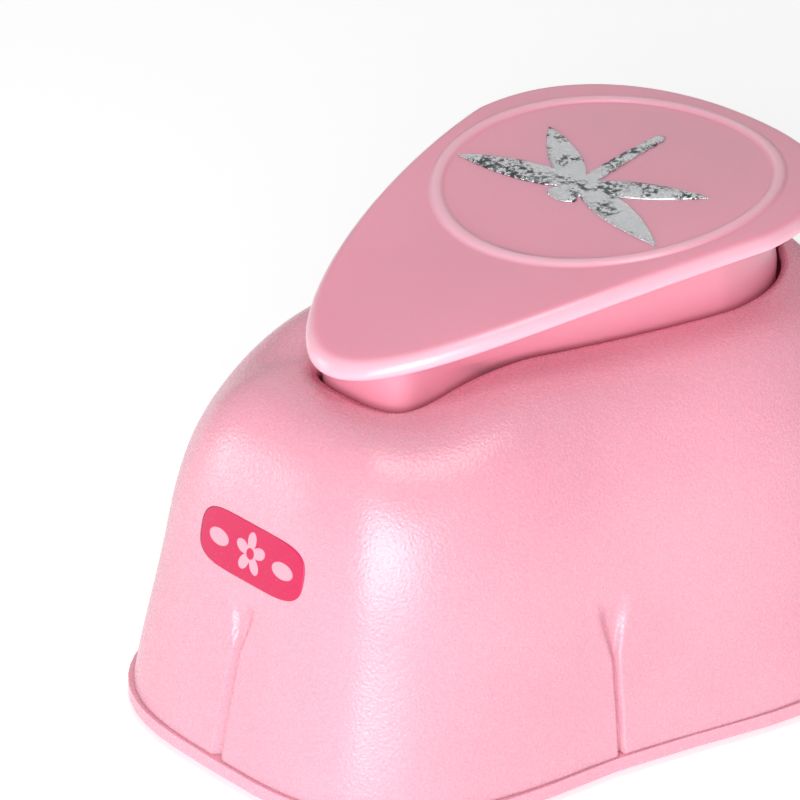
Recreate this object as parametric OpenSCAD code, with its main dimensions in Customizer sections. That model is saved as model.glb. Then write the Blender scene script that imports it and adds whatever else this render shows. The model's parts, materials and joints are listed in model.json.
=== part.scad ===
// Craft punch with a hinged lever: a moulded shell and lever round a steel and zinc punching frame.
// +Z is up, the paper slot faces -Y, and the origin is the middle of the footprint at floor level.

/* [Body] */
// Half length of the shell at its base
body_half_l = 36; // [34:0.5:44]
// Half width of the shell behind the waist
rear_half_w = 24; // [23.5:0.5:30]
// Half width of the shell at the front
front_half_w = 29; // [27:0.5:36]
// Height of the landing round the lever at the rear
body_h = 35.8; // [35:0.5:42]
// Rise of the landing from the rear to the middle
landing_rise = 2.2; // [0:0.2:3]
// Wall thickness of the shell
shell_wall = 2; // [1.6:0.1:2.4]
// Outward flare of the lobes at the foot
lobe_flare = 1.4; // [0:0.1:2]
// Height at which the lobes begin
lobe_top = 19; // [12:1:24]
// Depth of the V valleys between the lobes
valley_depth = 0.8; // [0:0.1:1.2]
// Half width of a V valley at its top
valley_half_w = 1.9; // [1:0.1:3]
// Height of the point of a V valley
valley_low = 11; // [8:0.5:11.5]
// Exponent of the base outline
base_exp = 3.3; // [2.6:0.1:3.6]

/* [Lever] */
// Half width of the lever plate
plate_half_w = 20.7; // [18:0.1:22]
// Length of the plate behind its widest place
plate_rear_l = 38.6; // [36:0.2:42]
// Length of the plate in front of its widest place
plate_front_l = 18.7; // [16:0.1:21]
// Thickness of the plate
plate_t = 1.6; // [1.4:0.1:2.2]
// Tilt of the plate at the ring's middle, at rest
plate_tilt = 5.1; // [3:0.1:7]
// Radius of the bend along the plate
plate_bend_r = 140; // [125:5:300]
// Radius of the raised ring
ring_r = 16.7; // [13:0.1:17]
// Height of the raised ring
ring_h = 0.35; // [0.2:0.05:0.6]
// Half width of the skirt at its widest place
skirt_half_w = 14.2; // [12:0.1:15]
// Half width of the neck at the hinge
neck_half_w = 6.5; // [6:0.1:7]
// Wall thickness of the skirt
skirt_wall = 2; // [1.6:0.1:2.4]
// Gap between the skirt and the shell
skirt_gap = 0.45; // [0.35:0.05:0.8]
// Lever travel in degrees
lever_travel = 10.5; // [6:0.5:10.5]

/* [Hinge] */
// Distance of the hinge pin behind the middle
hinge_y = 14; // [13:0.5:15]
// Height of the hinge pin
hinge_z = 30; // [29:0.25:30.5]
// Radius of the hinge pin
hinge_r = 2; // [1.5:0.1:2.2]
// Running clearance of a moving pin or post, radial
run_clear = 0.05; // [0.02:0.01:0.1]

/* [Punch] */
// Wing span of the cut motif
motif_span = 25; // [20:0.5:26]
// Wing span of the foil sample on the lever
emblem_span = 29; // [22:0.5:30]
// Distance of the motif's middle in front of the hinge
motif_reach = 27; // [25:0.5:28]
// Half width of the metal frame
frame_half_w = 20; // [19.6:0.1:20.2]
// Thickness of the die plate
die_t = 3; // [2:0.1:3.4]
// Height of the paper gap
paper_gap = 1.2; // [0.8:0.1:1.6]
// Thickness of the guide plate
guide_t = 3; // [2.5:0.1:4]
// Radius of a guide post
post_r = 2; // [1.5:0.1:2.2]
// Clearance round the cutter
cutter_clear = 0.05; // [0.03:0.01:0.08]
// Lift of the cutter above the paper gap at rest
cutter_lift = 0.4; // [0.2:0.1:0.8]
// Radius of the rivet shanks
rivet_r = 1.5; // [1.2:0.1:1.8]

/* [Base] */
// How far the foot pads stand proud
pad_proud = 0.8; // [0.5:0.1:1.5]
// Radius of a foot pad
pad_r = 3.5; // [2.5:0.1:4]
// Thickness of the base cover's flange
flange_t = 1.4; // [1.2:0.1:2]
// Height of the step inside the shell
step_t = 1.2; // [1:0.1:1.6]
// Radius of the base screws
screw_r = 1.3; // [1:0.1:1.5]

/* [Hidden] */
$fn = 48;

// Colours
shell_pink = [0.95, 0.62, 0.70];
lever_pink = [0.92, 0.52, 0.64];
magenta = [0.80, 0.05, 0.35];
zinc = [0.70, 0.71, 0.73];
steel = [0.78, 0.79, 0.80];

// Stack of the base and the frame, from the floor up
shell_z = pad_proud + flange_t;
die_z = shell_z + step_t;
gap_z = die_z + die_t;
guide_z = gap_z + paper_gap;
frame_top = guide_z + guide_t;
cutter_z = guide_z + cutter_lift;
fit_gap = 0.15;

// Driven height of the cutter: as far as the lever turns at the motif's reach
motif_y = hinge_y - motif_reach;
stroke = motif_reach * lever_travel * PI / 180;
pad_roll_r = 6;
pad_gap = 0.3;
presser_t = 3;
presser_top = hinge_z - 4.5;
presser_z = presser_top - presser_t;
presser_half_l = 12;

// Places across the frame
gap_half_w = 16;
post_x = 17.4;
rivet_x = (gap_half_w + frame_half_w) / 2;
frame_front = motif_y - 21;
guide_front = motif_y - 18;
frame_rear = hinge_y + 5;
rivet_front_y = motif_y - 12;
stop_y = motif_y + 23;
ear_gap = 0.5;
ear_t = 2.2;
ear_x = neck_half_w - skirt_gap + ear_gap;
ear_r = 3.2;

// Lever plate's frame: its top face, with the ring's middle as the origin
ring_y = -13.26;
ring_z = body_h + 12.37;
widest_b = 1.67;
ring_half_w = 0.75;

// Opening in the shell that the skirt passes through
open_rear_y = 20.4;
open_front_y = -31.3;
open_widest_y = -16.1;
open_rear_l = 31.5;
neck_l = 4.5;
lip_h = body_h + landing_rise - hinge_z;

// Shell surface
columns = 72;
rows = 20;
crown_exp = 4.7;
rear_roll = 3.5;
side_roll = 2.4;
rear_lean = 0.33;
side_lean = 0.12;
waist_y = 7.4;
mouth_half_w = 21;
mouth_top = frame_top + 1;
mouth_blend = 3;

function clamp01(t) = max(0, min(1, t));
function smooth(t) = clamp01(t) * clamp01(t) * (3 - 2 * clamp01(t));
function signed_pow(v, p) = sign(v) * pow(abs(v), p);

// Half width at y of an egg outline: half width w, a pointed rear and a round front
function egg_w(y, w, rear, front, p = 1.2, q = 1.9) =
    y > 0
    ? w * pow(max(0, 1 - pow(y / rear, p)), 1 / q)
    : w * pow(max(0, 1 - pow(-y / front, 2.2)), 1 / 2.2);

// Half width of the blunt neck behind the egg
function neck_w(y, rear, w) = w * pow(1 - pow(1 - clamp01((rear - y) / neck_l), 4), 1 / 2.6);

// Half width at y of the opening, drawn in by inset on every side
function open_w(y, inset = 0) =
    let (
        egg = egg_w(y - open_widest_y, skirt_half_w - inset, open_rear_l - inset,
            open_widest_y - open_front_y - inset),
        neck = neck_w(y, open_rear_y - inset, neck_half_w - inset)
    )
    y > open_rear_y - inset || y < open_front_y + inset ? 0
    : pow(pow(egg, 6) + pow(neck, 6), 1 / 6);

// Station along the opening at angle a, 0 at the rear and 180 at the front
function open_y(a, inset = 0) =
    (open_rear_y + open_front_y) / 2
    + ((open_rear_y - open_front_y) / 2 - inset) * signed_pow(cos(a), 0.9);

// Left side of a symmetric outline as points, then its right side
function mirrored(points) = concat(points,
    [for (i = [len(points) - 2:-1:1]) [-points[i][0], points[i][1]]]);

// Outline of the opening or the skirt, drawn in by inset
function open_outline(inset, steps = 36) = mirrored([for (i = [0:steps])
    let (a = 180 * i / steps, y = open_y(a, inset))
    [i == 0 || i == steps ? 0 : -open_w(y, inset), y]]);

// Point of the base outline at angle a, grown outwards by grow
function base_pt(a, grow) =
    let (
        y = (body_half_l + grow) * signed_pow(cos(a), 2 / base_exp),
        w = rear_half_w + (front_half_w - rear_half_w) * smooth((12 - y) / 30) + grow
    )
    [-w * signed_pow(sin(a), 2 / base_exp), y];

function base_outline(grow, steps = 72) = [for (i = [0:steps - 1]) base_pt(360 * i / steps, grow)];

// Share of the full depth at plan point p and height z, in a valley that narrows downwards to
// a point: 1 on its floor, 0 outside it
function valley(p, z) =
    let (
        rear_gap = p[1] > 0 ? abs(p[0]) : 100,
        gap = min(rear_gap, abs(p[1] - waist_y)),
        half = max(0.3, valley_half_w * (z - valley_low) / (lobe_top - valley_low))
    )
    exp(-pow(gap / half, 4)) * smooth((lobe_top - z) / 3);

// How far the skin stands out at plan point p and height z: the flare of the foot, less a valley
function lobe_out(p, z) =
    lobe_flare * smooth((lobe_top - z) / lobe_top) - valley_depth * valley(p, z);

// Point of the shell's skin: angle a round the shell, psi 0 at the opening to 90 at the floor.
// The crown is a superellipse arc with a straight lean, and inset gives the inner skin.
function skin(a, psi, inset) =
    let (
        top_y = open_y(a),
        top_x = abs(sin(a)) < 0.001 ? 0 : -sign(sin(a)) * open_w(top_y),
        foot = base_pt(a, -inset),
        side = pow(abs(sin(a)), 1.5),
        roll = rear_roll + (side_roll - rear_roll) * side,
        lean = rear_lean + (side_lean - rear_lean) * side,
        drop = 1 - pow(cos(psi), 2 / crown_exp),
        reach = (1 - lean) * pow(sin(psi), 2 / roll) + lean * drop,
        x = top_x + (foot[0] - top_x) * reach,
        y = top_y + (foot[1] - top_y) * reach,
        z = (landing_z(top_y) - inset) * (1 - drop),
        out = lobe_out([x, y], z) / max(1, norm([x, y]))
    )
    [x * (1 + out), y * (1 + out), z];

function landing_z(y) = body_h + landing_rise * smooth((17 - y) / 13);

// Lowest height of the shell at angle a: raised over the paper slot
function rim_z(a) =
    let (p = base_pt(a, 0))
    p[1] > 0 ? shell_z
    : shell_z + (mouth_top - shell_z) * smooth((mouth_half_w - abs(p[0])) / mouth_blend);

// Angle psi at which the skin reaches the rim
function rim_psi(a, inset) =
    acos(pow(rim_z(a) / (landing_z(open_y(a)) - inset), crown_exp / 2));

function column_points(a) = concat(
    [for (j = [0:rows]) skin(a, rim_psi(a, 0) * (1 - pow(1 - j / rows, 1.8)), 0)],
    [for (j = [rows:-1:0])
        skin(a, rim_psi(a, shell_wall) * (1 - pow(1 - j / rows, 1.8)), shell_wall)]);

// Triangles of a grid of closed loops: count loops of size points, the last joined to the first
// when closed
function loop_faces(count, size, closed) = [
    for (i = [0:closed ? count - 1 : count - 2], j = [0:size - 1])
        let (
            a = i * size + j,
            b = i * size + (j + 1) % size,
            c = ((i + 1) % count) * size + (j + 1) % size,
            d = ((i + 1) % count) * size + j
        )
        each [[a, b, c], [a, c, d]]];

module body_shell() {
    loop_n = 2 * (rows + 1);
    color(shell_pink)
        polyhedron(
            points = [for (i = [0:columns - 1]) each column_points(360 * i / columns)],
            faces = [for (f = loop_faces(columns, loop_n, true)) [f[0], f[2], f[1]]]);
}

// Thin badge printed on the rear face, following the skin
mark_half_w = 7.45;
mark_low_z = 19.9;
mark_high_z = 25.5;
mark_t = 0.1;

// Point of the rear skin at x and height z, moved out by out
function rear_pt(x, z, out) =
    let (
        lift = z / landing_z(open_rear_y),
        psi = acos(pow(lift, crown_exp / 2)),
        a = asin(pow(clamp01(abs(x) / rear_half_w), base_exp / 2)),
        p = skin(a, psi, 0)
    )
    [x, p[1] + out, z];

module maker_mark() {
    across = 12;
    up = 6;
    loop = function (x) concat(
        [for (k = [0:up]) rear_pt(x, mark_low_z + (mark_high_z - mark_low_z) * k / up, mark_t)],
        [for (k = [up:-1:0]) rear_pt(x, mark_low_z + (mark_high_z - mark_low_z) * k / up, -0.3)]);
    size = 2 * (up + 1);
    last = across * size;
    caps = [
        for (k = [1:size - 2]) [0, k + 1, k],
        for (k = [1:size - 2]) [last, last + k, last + k + 1]];
    color(magenta)
        polyhedron(
            points = [for (i = [0:across]) each loop(mark_half_w - 2 * mark_half_w * i / across)],
            faces = concat(loop_faces(across + 1, size, false), caps));
}

// Places of the base screws and the foot pads
screw_spots = [for (x = [-1, 1], y = [motif_y - 16.5, motif_y + 19]) [17.5 * x, y]];
pad_spots = [for (x = [-1, 1], end = [0, 1]) [x * (end == 0 ? 22 : 17), end == 0 ? -18 : 25]];
window_half_w = 14;
window_half_l = 12;
pad_sink = 0.5;
head_t = 1.2;
head_r = 2.4;

module base_cover() {
    color(shell_pink)
        difference() {
            union() {
                translate([0, 0, pad_proud])
                    linear_extrude(flange_t)
                        polygon(base_outline(lobe_flare));
                translate([0, 0, shell_z])
                    linear_extrude(step_t)
                        polygon(base_outline(-shell_wall - fit_gap));
            }
            translate([-window_half_w, motif_y - window_half_l, 0])
                cube([2 * window_half_w, 2 * window_half_l, die_z + 1]);
            for (p = pad_spots)
                translate([p[0], p[1], 0])
                    cylinder(r = pad_r + fit_gap, h = pad_proud + pad_sink);
            for (p = screw_spots)
                translate([p[0], p[1], 0]) {
                    cylinder(r = screw_r + fit_gap, h = die_z + 1);
                    cylinder(r = head_r + fit_gap, h = pad_proud + head_t);
                }
        }
}

module foot_pads() {
    color([0.15, 0.15, 0.16])
        for (p = pad_spots)
            translate([p[0], p[1], 0])
                cylinder(r = pad_r, h = pad_proud + pad_sink);
}

module base_screws() {
    color(steel)
        for (p = screw_spots)
            translate([p[0], p[1], pad_proud])
                difference() {
                    union() {
                        cylinder(r = head_r, h = head_t);
                        cylinder(r = screw_r, h = die_z - pad_proud + die_t - 0.6);
                    }
                    translate([-head_r, -0.35, -0.1])
                        cube([2 * head_r, 0.7, 0.7]);
                    translate([-0.35, -head_r, -0.1])
                        cube([0.7, 2 * head_r, 0.7]);
                }
}

// Half width of a leaf-shaped wing at share t of its length
function leaf_w(t, w) = w / 2 * pow(sin(180 * pow(t, 0.75)), 0.8);

module wing(length, width, angle, grow) {
    steps = 14;
    edge = [for (i = [0:steps]) [length * i / steps, leaf_w(i / steps, width) + grow]];
    back = [for (i = [steps:-1:0]) [length * i / steps + (i == steps ? grow : 0),
        -leaf_w(i / steps, width) - grow]];
    rotate([0, 0, angle])
        polygon(concat(edge, back));
}

// Dragonfly of wing span span, tail towards -Y, its outline grown by grow
module motif(height, grow, span) {
    s = span / 25;
    linear_extrude(height)
        for (m = [0, 1])
            mirror([m, 0, 0]) {
                wing(12.5 * s, 2.9 * s, 12, grow);
                wing(11.2 * s, 2.8 * s, -28, grow);
            }
    translate([-0.8 * s - grow, -11 * s, 0])
        cube([1.6 * s + 2 * grow, 11 * s, height]);
    translate([0, -11 * s, 0])
        cylinder(r = 0.8 * s + grow, h = height);
    translate([0, 0.2 * s, 0])
        cylinder(r = 1.5 * s + grow, h = height);
    for (m = [-1, 1])
        translate([0.8 * s * m, 2.1 * s, 0])
            cylinder(r = 0.85 * s + grow, h = height);
}

motif_shift = 4;

module motif_at(z, height, grow) {
    translate([0, motif_y + motif_shift, z])
        motif(height, grow, motif_span);
}

rivet_spots = [for (x = [-1, 1], y = [rivet_front_y, hinge_y]) [x * rivet_x, y]];
bracket_half_w = 13;
bracket_screw_spots = [for (x = [-1, 1]) [x * 11, hinge_y]];
head_h = 1;
rivet_head_r = 2.4;

// The plates' front corners are cut along one slanted line, which keeps clear of the inner face of the shell.
corner_y = frame_front + 2.6 + 1.8 * shell_wall;
corner_slope = 0.68;
function corner_x(y) = frame_half_w - max(0, corner_y - y) * corner_slope;

module plate_slab(front, rear, z, t) {
    translate([0, 0, z])
        linear_extrude(t)
            polygon(concat(
                [[-frame_half_w, rear], [-frame_half_w, corner_y]],
                [[-corner_x(front), front], [corner_x(front), front]],
                [[frame_half_w, corner_y], [frame_half_w, rear]]));
}

module shank_holes(z, h, grow) {
    for (p = rivet_spots)
        translate([p[0], p[1], z])
            cylinder(r = rivet_r + grow, h = h);
}

module die_plate() {
    color(zinc)
        difference() {
            plate_slab(frame_front, frame_rear, die_z, die_t);
            motif_at(die_z - 1, die_t + 2, cutter_clear);
            shank_holes(die_z - 1, die_t + 2, fit_gap / 3);
            for (p = rivet_spots)
                translate([p[0], p[1], die_z - 0.01])
                    cylinder(r = rivet_head_r - 0.4 + fit_gap, h = head_h + 0.01);
            for (p = screw_spots)
                translate([p[0], p[1], die_z - 1])
                    cylinder(r = screw_r + fit_gap / 3, h = die_t + 0.7);
        }
}

module gap_spacer(side) {
    color(steel)
        difference() {
            translate([0, 0, gap_z])
                linear_extrude(paper_gap)
                    polygon([
                        [side * gap_half_w, guide_front], [side * corner_x(guide_front), guide_front],
                        [side * frame_half_w, corner_y], [side * frame_half_w, frame_rear],
                        [side * gap_half_w, frame_rear]]);
            shank_holes(gap_z - 1, paper_gap + 2, fit_gap / 3);
        }
}

module gap_spacer_left() {
    gap_spacer(-1);
}

module gap_spacer_right() {
    gap_spacer(1);
}

module paper_stop() {
    color(steel)
        translate([-gap_half_w + fit_gap, stop_y, gap_z])
            cube([2 * (gap_half_w - fit_gap), frame_rear - stop_y, paper_gap]);
}

module guide_plate() {
    color(zinc)
        difference() {
            plate_slab(guide_front, frame_rear, guide_z, guide_t);
            motif_at(guide_z - 1, guide_t + 2, cutter_clear);
            shank_holes(guide_z - 1, guide_t + 2, fit_gap / 3);
            for (side = [-1, 1])
                translate([side * post_x, motif_y, guide_z + 1])
                    cylinder(r = post_r + fit_gap / 3, h = guide_t);
            for (p = bracket_screw_spots)
                translate([p[0], p[1], guide_z + 0.8])
                    cylinder(r = screw_r + fit_gap / 3, h = guide_t);
        }
}

module frame_rivets() {
    color(steel)
        for (p = rivet_spots)
            translate([p[0], p[1], die_z]) {
                cylinder(r = rivet_head_r - 0.4, h = head_h - 0.1);
                cylinder(r = rivet_r, h = frame_top - die_z + head_h);
                translate([0, 0, frame_top - die_z])
                    cylinder(r = rivet_head_r, h = head_h);
            }
}

clip_t = 0.7;
post_top = presser_top + 3;

module guide_post(side) {
    color(steel)
        translate([side * post_x, motif_y, guide_z + 1])
            cylinder(r = post_r, h = post_top - guide_z - 1);
}

module guide_post_left() {
    guide_post(-1);
}

module guide_post_right() {
    guide_post(1);
}

module clip_ring(r) {
    difference() {
        cylinder(r = r + 1.3, h = clip_t);
        translate([0, 0, -1])
            cylinder(r = r + 0.02, h = clip_t + 2);
    }
}

module post_clips() {
    color(steel)
        for (side = [-1, 1])
            translate([side * post_x, motif_y, presser_top + pad_gap + 0.5])
                clip_ring(post_r);
}

module pivot_bracket() {
    foot_t = 2;
    half_l = 4.5;
    color(zinc)
        difference() {
            union() {
                translate([-bracket_half_w, hinge_y - half_l, frame_top])
                    cube([2 * bracket_half_w, 2 * half_l, foot_t]);
                for (side = [-1, 1])
                    translate([side > 0 ? ear_x : -ear_x - ear_t, 0, 0]) {
                        translate([0, hinge_y - ear_r, frame_top])
                            cube([ear_t, 2 * ear_r, hinge_z - frame_top]);
                        translate([0, hinge_y, hinge_z])
                            rotate([0, 90, 0])
                                cylinder(r = ear_r, h = ear_t);
                    }
            }
            translate([-20, hinge_y, hinge_z])
                rotate([0, 90, 0])
                    cylinder(r = hinge_r + run_clear, h = 40);
            for (p = bracket_screw_spots)
                translate([p[0], p[1], frame_top - 1])
                    cylinder(r = screw_r + fit_gap / 3, h = 4);
        }
}

module bracket_screws() {
    color(steel)
        for (p = bracket_screw_spots)
            translate([p[0], p[1], guide_z + 1]) {
                cylinder(r = screw_r, h = frame_top + 2 - guide_z - 1);
                translate([0, 0, frame_top + 2 - guide_z - 1])
                    cylinder(r = 2.1, h = 1);
            }
}

pin_half_l = ear_x + ear_t + 1.4;

module pivot_pin() {
    color(steel)
        translate([-pin_half_l, hinge_y, hinge_z])
            rotate([0, 90, 0])
                cylinder(r = hinge_r, h = 2 * pin_half_l);
}

module pin_clips() {
    color(steel)
        for (side = [0, 1])
            mirror([side, 0, 0])
                translate([ear_x + ear_t + 0.1, hinge_y, hinge_z])
                    rotate([0, 90, 0])
                        clip_ring(hinge_r);
}

spring_wire = 0.45;
spring_r = 3.2;
spring_turns = 6;

// Helix of the return spring: one ring of wire points per step
module return_spring(side) {
    per_turn = 12;
    sides = 6;
    rings = spring_turns * per_turn + 1;
    low = frame_top + spring_wire + 0.02;
    high = presser_z - spring_wire - 0.02;
    ring = function (i)
        let (a = 360 * i / per_turn, z = low + (high - low) * i / (rings - 1))
        [for (k = [0:sides - 1])
            let (b = 360 * k / sides, r = spring_r + spring_wire * cos(b))
            [r * cos(a), r * sin(a), z + spring_wire * sin(b)]];
    last = (rings - 1) * sides;
    caps = [
        for (k = [1:sides - 2]) [0, k + 1, k],
        for (k = [1:sides - 2]) [last, last + k, last + k + 1]];
    color(steel)
        translate([side * post_x, motif_y, 0])
            polyhedron(points = [for (i = [0:rings - 1]) each ring(i)],
                faces = concat(loop_faces(rings, sides, false), caps));
}

module return_spring_left() {
    return_spring(-1);
}

module return_spring_right() {
    return_spring(1);
}

// Moves a child from the plate's frame to its place: z 0 is the plate's top face
module on_plate() {
    translate([0, ring_y, ring_z])
        rotate([-plate_tilt, 0, 0])
            children();
}

function plate_outline(steps = 36) = mirrored([for (i = [0:steps])
    let (
        a = 180 * i / steps,
        y = a < 90 ? plate_rear_l * pow(cos(a), 2 / 1.2) : -plate_front_l * pow(-cos(a), 2 / 2.2)
    )
    [i == 0 || i == steps ? 0 : -egg_w(y, plate_half_w, plate_rear_l, plate_front_l, 1.108, 2.023),
        y - widest_b]]);

// Height of the bent top face over y, in the plate's frame
function bend_z(y) = sqrt(plate_bend_r * plate_bend_r - y * y) - plate_bend_r;

// Everything below the bent top face raised by up, in the plate's frame
module below_bend(up) {
    translate([-40, 0, -plate_bend_r])
        rotate([0, 90, 0])
            cylinder(r = plate_bend_r + up, h = 80, $fn = 360);
}

// The part of a child that lies from low to high over the bent top face
module bent(low, high) {
    difference() {
        intersection() {
            children();
            below_bend(high);
        }
        below_bend(low);
    }
}

peg_spots = [[0, 16], [-8, -9], [8, -9]];
peg_r = 1.5;
peg_l = 2.6;

module lever_cap() {
    color(lever_pink)
        on_plate() {
            bent(-plate_t, 0)
                translate([0, 0, -20])
                    linear_extrude(30)
                        polygon(plate_outline());
            bent(-0.2, ring_h)
                translate([0, 0, -10])
                    difference() {
                        cylinder(r = ring_r + ring_half_w, h = 20);
                        translate([0, 0, -1])
                            cylinder(r = ring_r - ring_half_w, h = 22);
                    }
            for (p = peg_spots)
                translate([p[0], p[1], bend_z(p[1]) - plate_t - peg_l])
                    cylinder(r = peg_r, h = peg_l + 0.6);
        }
}

// Solid swept about the hinge whose half width at radius r is the opening's
module hinge_sweep(inset) {
    radius = function (y) sqrt(pow(hinge_y - y, 2) + lip_h * lip_h);
    steps = 28;
    front = [for (i = [0:steps])
        let (a = 90 + 90 * i / steps,
            y = open_widest_y + (open_widest_y - open_front_y - inset) * cos(a))
        [radius(y), i == steps ? 0 : open_w(y, inset)]];
    back = [for (i = [steps - 1:-1:0]) [front[i][0], -front[i][1]]];
    translate([0, hinge_y, hinge_z])
        rotate([0, 90, 0])
            rotate_extrude($fn = 180)
                polygon(concat([[0, -front[0][1]], [0, front[0][1]]], front, back));
}

// Everything below the plate's underside, less drop
module below_plate(drop) {
    on_plate()
        below_bend(-plate_t - drop);
}

skirt_z = hinge_z;
boss_r = 4;
presser_post_w = 12;
presser_post_l = 8;
roll_z = presser_top + pad_gap + pad_roll_r;

module arm_block(inset, z, drop) {
    intersection() {
        translate([0, 0, z])
            linear_extrude(40)
                polygon(open_outline(inset));
        hinge_sweep(inset);
        below_plate(drop);
    }
}

module lever_arm() {
    boss_w = neck_half_w - skirt_gap;
    color(lever_pink)
        difference() {
            union() {
                difference() {
                    arm_block(skirt_gap, skirt_z, 0);
                    arm_block(skirt_gap + skirt_wall, skirt_z - 1, skirt_wall);
                }
                translate([-boss_w, hinge_y, hinge_z])
                    rotate([0, 90, 0])
                        cylinder(r = boss_r, h = 2 * boss_w);
                intersection() {
                    translate([-presser_post_w / 2, motif_y - presser_post_l / 2, roll_z])
                        cube([presser_post_w, presser_post_l, 30]);
                    below_plate(skirt_wall / 2);
                }
            }
            translate([-20, hinge_y, hinge_z])
                rotate([0, 90, 0])
                    cylinder(r = hinge_r + run_clear, h = 40);
            on_plate()
                for (p = peg_spots)
                    translate([p[0], p[1], bend_z(p[1]) - plate_t - peg_l - 0.1])
                        cylinder(r = peg_r + fit_gap / 3, h = peg_l + 0.7);
            translate([0, motif_y, roll_z - 1])
                cylinder(r = 2 + fit_gap / 3, h = 4.2);
        }
}

module press_pad() {
    color([0.93, 0.92, 0.88])
        union() {
            intersection() {
                translate([-presser_post_w / 2, motif_y, roll_z])
                    rotate([0, 90, 0])
                        cylinder(r = pad_roll_r, h = presser_post_w);
                translate([-10, motif_y - 10, roll_z - 20])
                    cube([20, 20, 20]);
            }
            translate([0, motif_y, roll_z - 1])
                cylinder(r = 2, h = 4);
        }
}

emblem_t = 0.25;
emblem_back = 3.3;
emblem_side = 0.3;

module motif_emblem() {
    color([0.85, 0.86, 0.88])
        on_plate()
            bent(0, emblem_t)
                translate([emblem_side, emblem_back, -4])
                    motif(6, 0, emblem_span);
}

module cutter() {
    color(steel)
        difference() {
            motif_at(cutter_z, presser_z - cutter_z, 0);
            for (y = cutter_rivet_y)
                translate([0, y, presser_z - 3])
                    cylinder(r = 0.6 + fit_gap / 3, h = 4);
        }
}

cutter_rivet_y = [motif_y + motif_shift + 2.6, motif_y + motif_shift - 6];

module pressure_plate() {
    color(zinc)
        difference() {
            translate([-frame_half_w + 0.1, motif_y - presser_half_l, presser_z])
                cube([2 * frame_half_w - 0.2, 2 * presser_half_l, presser_t]);
            for (side = [-1, 1])
                translate([side * post_x, motif_y, presser_z - 1])
                    cylinder(r = post_r + run_clear, h = presser_t + 2);
            for (y = cutter_rivet_y)
                translate([0, y, presser_z - 1]) {
                    cylinder(r = 0.6 + fit_gap / 3, h = presser_t + 2);
                    translate([0, 0, presser_t])
                        cylinder(r = 1.6, h = 2);
                }
        }
}

module cutter_rivets() {
    color(steel)
        for (y = cutter_rivet_y)
            translate([0, y, presser_z - 2.5]) {
                cylinder(r = 0.6, h = presser_t + 2.3);
                translate([0, 0, presser_t + 1.55])
                    cylinder(r = 1.5, h = 0.85);
            }
}

body_shell();
maker_mark();
base_cover();
foot_pads();
base_screws();
die_plate();
gap_spacer_left();
gap_spacer_right();
paper_stop();
guide_plate();
frame_rivets();
guide_post_left();
guide_post_right();
post_clips();
pivot_bracket();
bracket_screws();
pivot_pin();
pin_clips();
return_spring_left();
return_spring_right();
lever_cap();
lever_arm();
press_pad();
motif_emblem();
cutter();
pressure_plate();
cutter_rivets();
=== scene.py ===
# %% [markdown]
# # A craft punch in pink plastic
# A craft punch is a small press for paper. The user slides a sheet into the slot at the front, pushes the lever
# down, and a cutter goes through the paper into a die. The mechanism was designed elsewhere, in millimetres, and it
# arrives here packed as a frame: named bodies, named nodes and two joints. This lesson dresses that frame. Each
# plastic piece that shows, the foil, the ink and the springs are surfaces worked out with numpy. Every other part
# keeps its own shape and gets a finish made of shader nodes.

# %% Tools and frame
import json

import bpy
import numpy as np
from mathutils import Matrix, Vector


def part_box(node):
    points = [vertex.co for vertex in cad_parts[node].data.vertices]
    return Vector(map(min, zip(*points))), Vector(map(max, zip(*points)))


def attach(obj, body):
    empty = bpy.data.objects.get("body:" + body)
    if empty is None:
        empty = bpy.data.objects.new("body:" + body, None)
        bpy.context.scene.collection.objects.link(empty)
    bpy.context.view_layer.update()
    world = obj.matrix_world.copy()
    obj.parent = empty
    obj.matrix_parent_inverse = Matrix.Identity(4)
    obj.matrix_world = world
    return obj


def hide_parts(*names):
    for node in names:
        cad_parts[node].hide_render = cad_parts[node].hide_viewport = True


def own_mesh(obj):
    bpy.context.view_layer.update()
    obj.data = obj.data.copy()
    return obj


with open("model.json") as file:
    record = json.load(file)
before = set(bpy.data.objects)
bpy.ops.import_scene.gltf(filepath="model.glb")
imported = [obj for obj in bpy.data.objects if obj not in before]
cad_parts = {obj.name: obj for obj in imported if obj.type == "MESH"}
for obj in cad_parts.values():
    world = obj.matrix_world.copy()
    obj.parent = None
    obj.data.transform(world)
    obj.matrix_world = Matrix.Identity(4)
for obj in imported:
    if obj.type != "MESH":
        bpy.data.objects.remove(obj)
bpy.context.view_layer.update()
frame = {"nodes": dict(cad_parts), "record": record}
MM = 0.001

# %% [markdown]
# ## Sizes that everything shares
# The shell was designed as a surface with two parameters, so the same few numbers rebuild it here. Lengths that can
# be read from the frame are read from it, and the exponents that give the curves their character are repeated.

# %% Driving sizes, in millimetres


def box_mm(node):
    """Lowest and highest corner of a node, in millimetres, as two arrays."""
    low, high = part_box(node)
    return np.array(low) / MM, np.array(high) / MM


shell_low, shell_high = box_mm("body_shell")
cover_low, cover_high = box_mm("base_cover")
pin_low, pin_high = box_mm("pivot_pin")
cap_low, cap_high = box_mm("lever_cap")

LOBE_FLARE = 1.4
HALF_LENGTH = cover_high[1] - LOBE_FLARE
FRONT_HALF_WIDTH = 29.0
REAR_HALF_WIDTH = 24.0
BASE_EXPONENT = 3.3
LANDING_HEIGHT = 35.8
LANDING_RISE = 2.2
SHELL_WALL = 2.0
SHELL_FOOT = shell_low[2]
LOBE_TOP = 19.0
VALLEY_DEPTH = 0.8
VALLEY_HALF_WIDTH = 1.9
VALLEY_LOW = 11.0
WAIST_Y = 7.4
HINGE = np.array([0.0, (pin_low[1] + pin_high[1]) / 2, (pin_low[2] + pin_high[2]) / 2])
print("shell half length", round(HALF_LENGTH, 2), "hinge", HINGE.round(2))

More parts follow.
